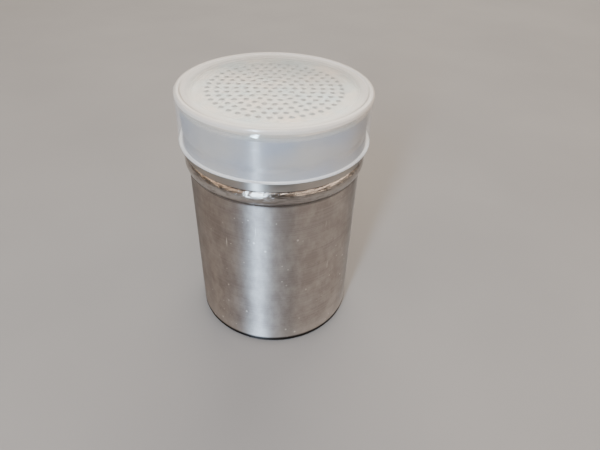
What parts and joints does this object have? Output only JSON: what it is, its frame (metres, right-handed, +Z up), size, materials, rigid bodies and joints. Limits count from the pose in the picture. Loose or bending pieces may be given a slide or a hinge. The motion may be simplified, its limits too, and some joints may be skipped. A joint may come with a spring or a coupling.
{
  "type": "spice shaker",
  "caption": "Round steel spice shaker: a drawn cup, a perforated screw lid with its seal, and a translucent push-on cover.",
  "frame": {"origin": "on the surface that the shaker stands on, under the axis of the cup", "axes": "+Z up along the shaker's axis; X and Y are level, and the lid's thread starts at +X"},
  "size_m": [0.0706, 0.0706, 0.1004],
  "materials": {
    "cup_steel": "fine brushed, satin",
    "lid_steel": "bright, lightly brushed",
    "seal_rubber": "matt, food-grade white",
    "cover_plastic": "milky translucent, satin"
  },
  "bodies": {
    "cup": {"cup": "cup_steel"},
    "seal": {"seal_ring": "seal_rubber"},
    "lid": {"perforated_lid": "lid_steel"},
    "cover": {"cover": "cover_plastic"}
  },
  "joints": [
    {"name": "lid_rise", "type": "slide", "parent": "cup", "child": "seal", "axis": [0, 0, 1], "range_m": [0, 0.023]},
    {"name": "lid_turn", "type": "hinge", "parent": "seal", "child": "lid", "pos_m": [0, 0, 0.09], "axis": [0, 0, 1], "range_deg": [0, 2070]},
    {"name": "cover_lift", "type": "slide", "parent": "lid", "child": "cover", "axis": [0, 0, 1], "range_m": [0, 0.03]}
  ],
  "couplings": [
    {"joint": "lid_rise", "follows": "lid_turn", "m_per_rad": 0.00063662}
  ]
}
